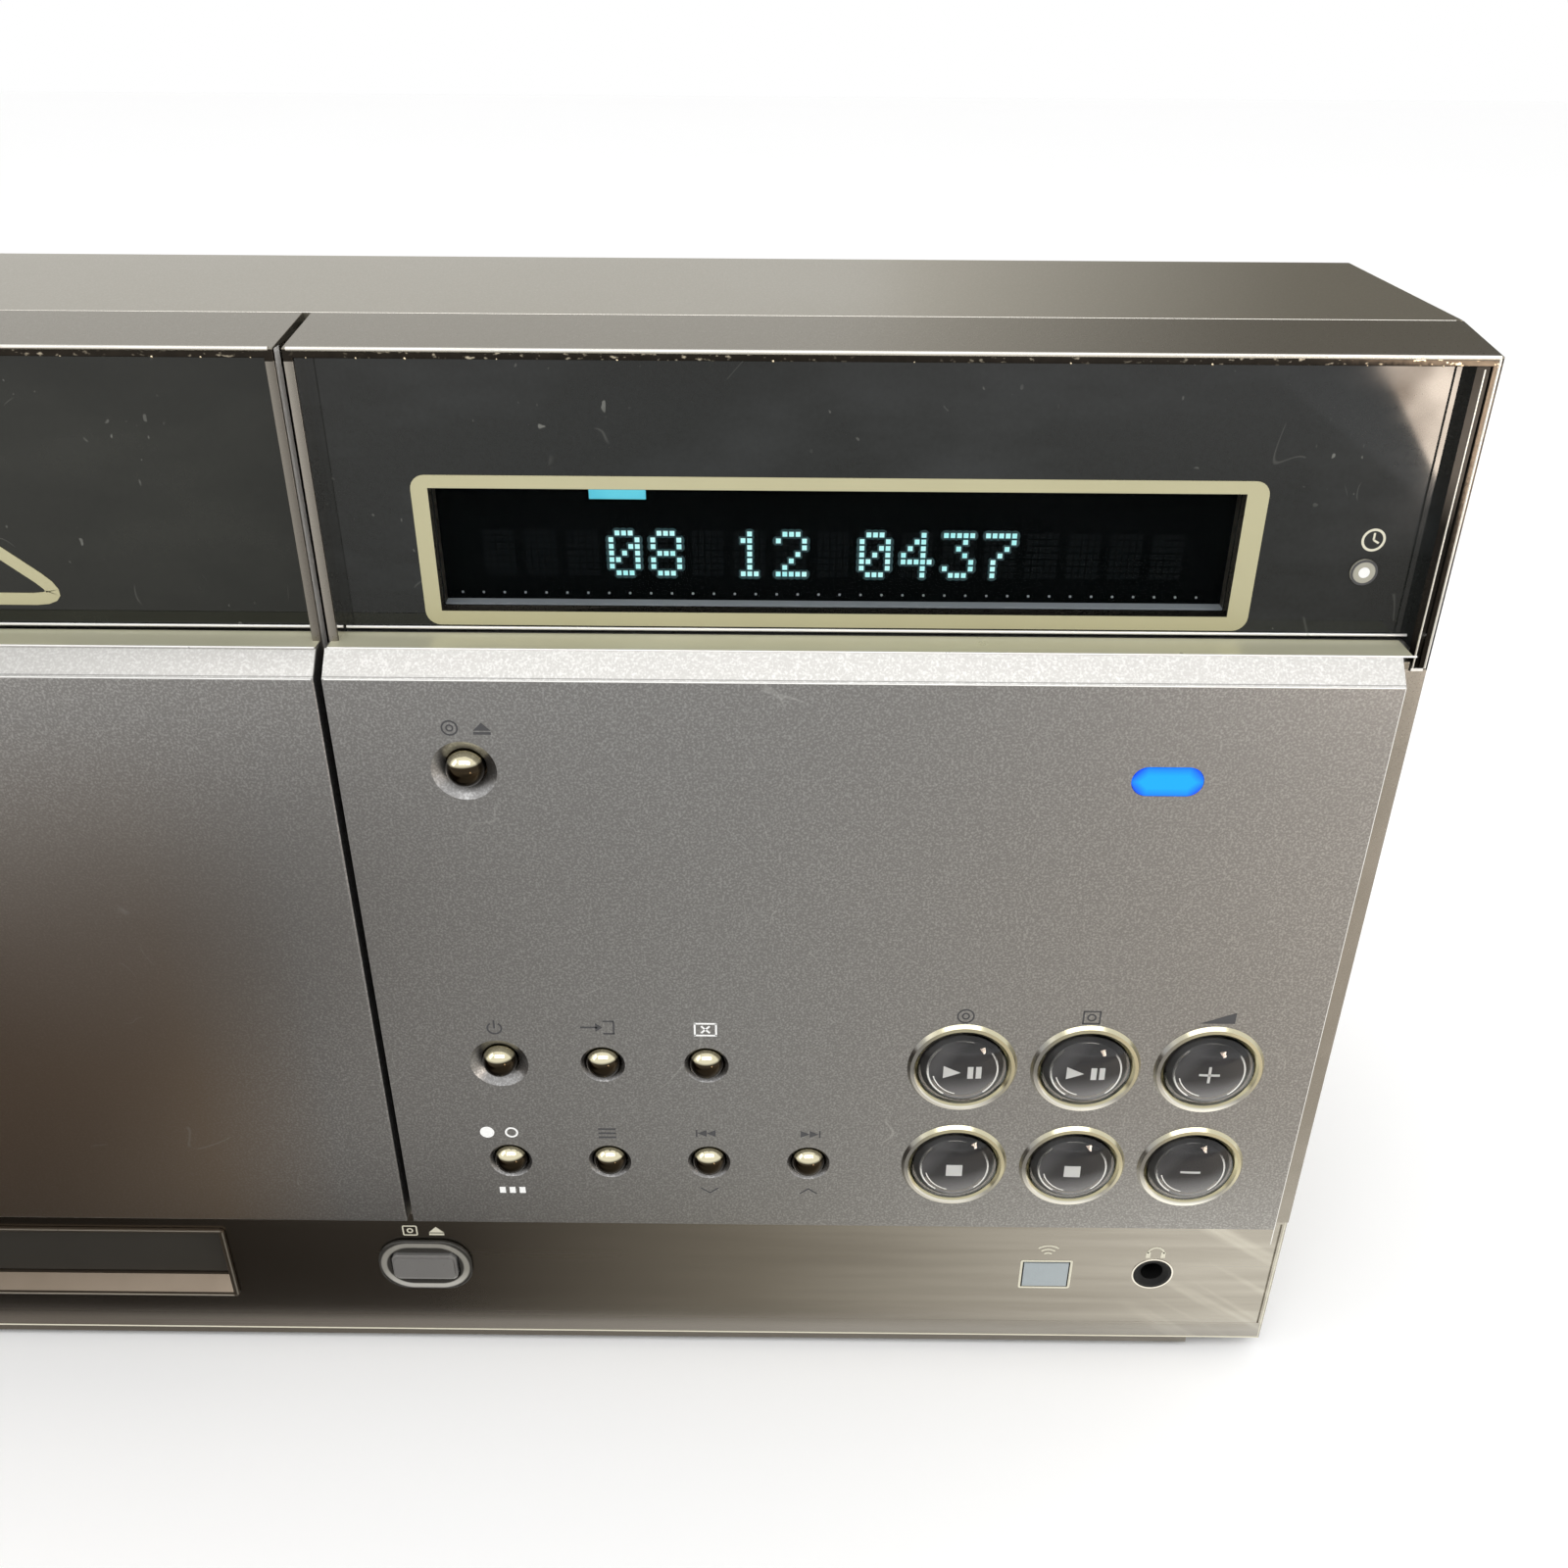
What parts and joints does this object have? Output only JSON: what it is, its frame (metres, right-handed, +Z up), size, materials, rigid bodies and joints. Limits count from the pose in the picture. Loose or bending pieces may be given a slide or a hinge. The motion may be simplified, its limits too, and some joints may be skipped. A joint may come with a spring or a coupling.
{
  "type": "cd minidisc system",
  "caption": "Slim desktop disc and minidisc system with a sliding left door over an upright disc well, a display band, a raised silver key panel and a minidisc slot below.",
  "frame": {"origin": "on the table under the middle of the unit's whole width and depth", "axes": "+X along the front to the viewer's right, +Y from the front to the back, +Z up"},
  "size_m": [0.274, 0.12, 0.1656],
  "materials": {
    "cover_paint": "warm grey metallic paint, satin",
    "frame_paint": "warm grey metallic paint, satin",
    "silver_paint": "silver metallic paint with a fine sparkle",
    "dark_plate": "smoked, mirror-like",
    "trim_steel": "brushed along the front, glossy",
    "sheet_steel": "plain zinc-coated sheet",
    "rod_steel": "polished",
    "black_plastic": "moulded, fine grain",
    "grey_plastic": "moulded, fine grain",
    "white_plastic": "moulded nylon",
    "rubber": "matt",
    "key_chrome": "polished",
    "key_dome": "clear dome over a dark drum",
    "ring_gloss": "polished, warm",
    "tube_glass": "black display glass",
    "blue_lens": "lit lens",
    "lamp_lens": "milky lens",
    "sensor_lens": "smooth, blue grey",
    "board_green": "solder mask",
    "core_iron": "laminated core, varnished"
  },
  "bodies": {
    "cabinet": {"cabinet_cover": "cover_paint", "rear_cover": "black_plastic", "base_pan": "black_plastic", "feet": "rubber", "front_bulkhead": "grey_plastic", "fascia_frame": "frame_paint", "fascia_glass": "dark_plate", "control_panel": "silver_paint", "display_tube": "tube_glass", "status_lens": "blue_lens", "timer_lens": "lamp_lens", "key_rings": "ring_gloss", "key_board": "board_green", "front_trim": "trim_steel", "slot_bezel": "frame_paint", "eject_bezel": "ring_gloss", "sensor_window": "sensor_lens", "headphone_socket": "black_plastic", "door_rails": "sheet_steel", "door_motor": "sheet_steel", "cd_well": "black_plastic", "cd_chassis": "sheet_steel", "guide_rods": "rod_steel", "spindle_motor": "sheet_steel", "md_deck": "sheet_steel", "main_board": "board_green", "transformer": "core_iron", "audio_sockets": "black_plastic", "aerial_socket": "sheet_steel", "speaker_sockets": "black_plastic", "mains_inlet": "black_plastic", "screws": "sheet_steel"},
    "door": {"door_frame": "frame_paint", "door_glass": "dark_plate", "door_panel": "silver_paint", "door_back": "grey_plastic", "rack_slide": "white_plastic", "upper_slide": "white_plastic"},
    "pinion": {"drive_pinion": "white_plastic"},
    "turntable": {"turntable": "black_plastic"},
    "pickup": {"pickup_sled": "black_plastic"},
    "sled_gear": {"sled_gear": "white_plastic"},
    "holder": {"md_holder": "sheet_steel"},
    "mini_spindle": {"md_spindle": "sheet_steel"},
    "flap": {"slot_flap": "frame_paint"},
    "key_disc_eject": {"key_disc_eject": "key_chrome"},
    "key_power": {"key_power": "key_chrome"},
    "key_source": {"key_source": "key_chrome"},
    "key_erase": {"key_erase": "key_chrome"},
    "key_record": {"key_record": "key_chrome"},
    "key_group": {"key_group": "key_chrome"},
    "key_back": {"key_back": "key_chrome"},
    "key_forward": {"key_forward": "key_chrome"},
    "key_disc_play": {"key_disc_play": "key_dome"},
    "key_disc_stop": {"key_disc_stop": "key_dome"},
    "key_mini_play": {"key_mini_play": "key_dome"},
    "key_mini_stop": {"key_mini_stop": "key_dome"},
    "key_volume_up": {"key_volume_up": "key_dome"},
    "key_volume_down": {"key_volume_down": "key_dome"},
    "key_mini_eject": {"key_mini_eject": "silver_paint"}
  },
  "joints": [
    {"name": "door_slide", "type": "slide", "parent": "cabinet", "child": "door", "axis": [-1, 0, 0], "range_m": [0, 0.125]},
    {"name": "pinion_spin", "type": "hinge", "parent": "cabinet", "child": "pinion", "pos_m": [-0.016, -0.03895, 0.0221], "axis": [0, 1, 0], "range_deg": [-1000, 0]},
    {"name": "turntable_spin", "type": "hinge", "parent": "cabinet", "child": "turntable", "pos_m": [-0.0685, -0.03295, 0.09675], "axis": [0, 1, 0], "continuous": true},
    {"name": "pickup_slide", "type": "slide", "parent": "cabinet", "child": "pickup", "axis": [1, 0, 0], "range_m": [0, 0.034]},
    {"name": "sled_gear_spin", "type": "hinge", "parent": "cabinet", "child": "sled_gear", "pos_m": [-0.0175, -0.02595, 0.06725], "axis": [0, 1, 0], "range_deg": [0, 330]},
    {"name": "holder_drop", "type": "slide", "parent": "cabinet", "child": "holder", "axis": [0, 0, -1], "range_m": [0, 0.0025], "stiffness_N_per_m": 400, "springref_m": -0.003},
    {"name": "mini_spindle_spin", "type": "hinge", "parent": "cabinet", "child": "mini_spindle", "pos_m": [-0.0685, 0.00415, 0.012], "axis": [0, 0, 1], "continuous": true},
    {"name": "flap_swing", "type": "hinge", "parent": "cabinet", "child": "flap", "pos_m": [-0.0685, -0.04955, 0.0241], "axis": [1, 0, 0], "range_deg": [0, 78], "stiffness_Nm_per_rad": 0.002, "springref_deg": -11.46},
    {"name": "press_disc_eject", "type": "slide", "parent": "cabinet", "child": "key_disc_eject", "axis": [0, 1, 0], "range_m": [0, 0.0008], "stiffness_N_per_m": 300, "springref_m": -0.001},
    {"name": "press_power", "type": "slide", "parent": "cabinet", "child": "key_power", "axis": [0, 1, 0], "range_m": [0, 0.0008], "stiffness_N_per_m": 300, "springref_m": -0.001},
    {"name": "press_source", "type": "slide", "parent": "cabinet", "child": "key_source", "axis": [0, 1, 0], "range_m": [0, 0.0008], "stiffness_N_per_m": 300, "springref_m": -0.001},
    {"name": "press_erase", "type": "slide", "parent": "cabinet", "child": "key_erase", "axis": [0, 1, 0], "range_m": [0, 0.0008], "stiffness_N_per_m": 300, "springref_m": -0.001},
    {"name": "press_record", "type": "slide", "parent": "cabinet", "child": "key_record", "axis": [0, 1, 0], "range_m": [0, 0.0008], "stiffness_N_per_m": 300, "springref_m": -0.001},
    {"name": "press_group", "type": "slide", "parent": "cabinet", "child": "key_group", "axis": [0, 1, 0], "range_m": [0, 0.0008], "stiffness_N_per_m": 300, "springref_m": -0.001},
    {"name": "press_back", "type": "slide", "parent": "cabinet", "child": "key_back", "axis": [0, 1, 0], "range_m": [0, 0.0008], "stiffness_N_per_m": 300, "springref_m": -0.001},
    {"name": "press_forward", "type": "slide", "parent": "cabinet", "child": "key_forward", "axis": [0, 1, 0], "range_m": [0, 0.0008], "stiffness_N_per_m": 300, "springref_m": -0.001},
    {"name": "press_disc_play", "type": "slide", "parent": "cabinet", "child": "key_disc_play", "axis": [0, 1, 0], "range_m": [0, 0.0008], "stiffness_N_per_m": 300, "springref_m": -0.001},
    {"name": "press_disc_stop", "type": "slide", "parent": "cabinet", "child": "key_disc_stop", "axis": [0, 1, 0], "range_m": [0, 0.0008], "stiffness_N_per_m": 300, "springref_m": -0.001},
    {"name": "press_mini_play", "type": "slide", "parent": "cabinet", "child": "key_mini_play", "axis": [0, 1, 0], "range_m": [0, 0.0008], "stiffness_N_per_m": 300, "springref_m": -0.001},
    {"name": "press_mini_stop", "type": "slide", "parent": "cabinet", "child": "key_mini_stop", "axis": [0, 1, 0], "range_m": [0, 0.0008], "stiffness_N_per_m": 300, "springref_m": -0.001},
    {"name": "press_volume_up", "type": "slide", "parent": "cabinet", "child": "key_volume_up", "axis": [0, 1, 0], "range_m": [0, 0.0008], "stiffness_N_per_m": 300, "springref_m": -0.001},
    {"name": "press_volume_down", "type": "slide", "parent": "cabinet", "child": "key_volume_down", "axis": [0, 1, 0], "range_m": [0, 0.0008], "stiffness_N_per_m": 300, "springref_m": -0.001},
    {"name": "press_mini_eject", "type": "slide", "parent": "cabinet", "child": "key_mini_eject", "axis": [0, 1, 0], "range_m": [0, 0.0008], "stiffness_N_per_m": 300, "springref_m": -0.001}
  ],
  "couplings": [
    {"joint": "pinion_spin", "follows": "door_slide", "rad_per_m": -138.89},
    {"joint": "sled_gear_spin", "follows": "pickup_slide", "rad_per_m": 166.67}
  ]
}
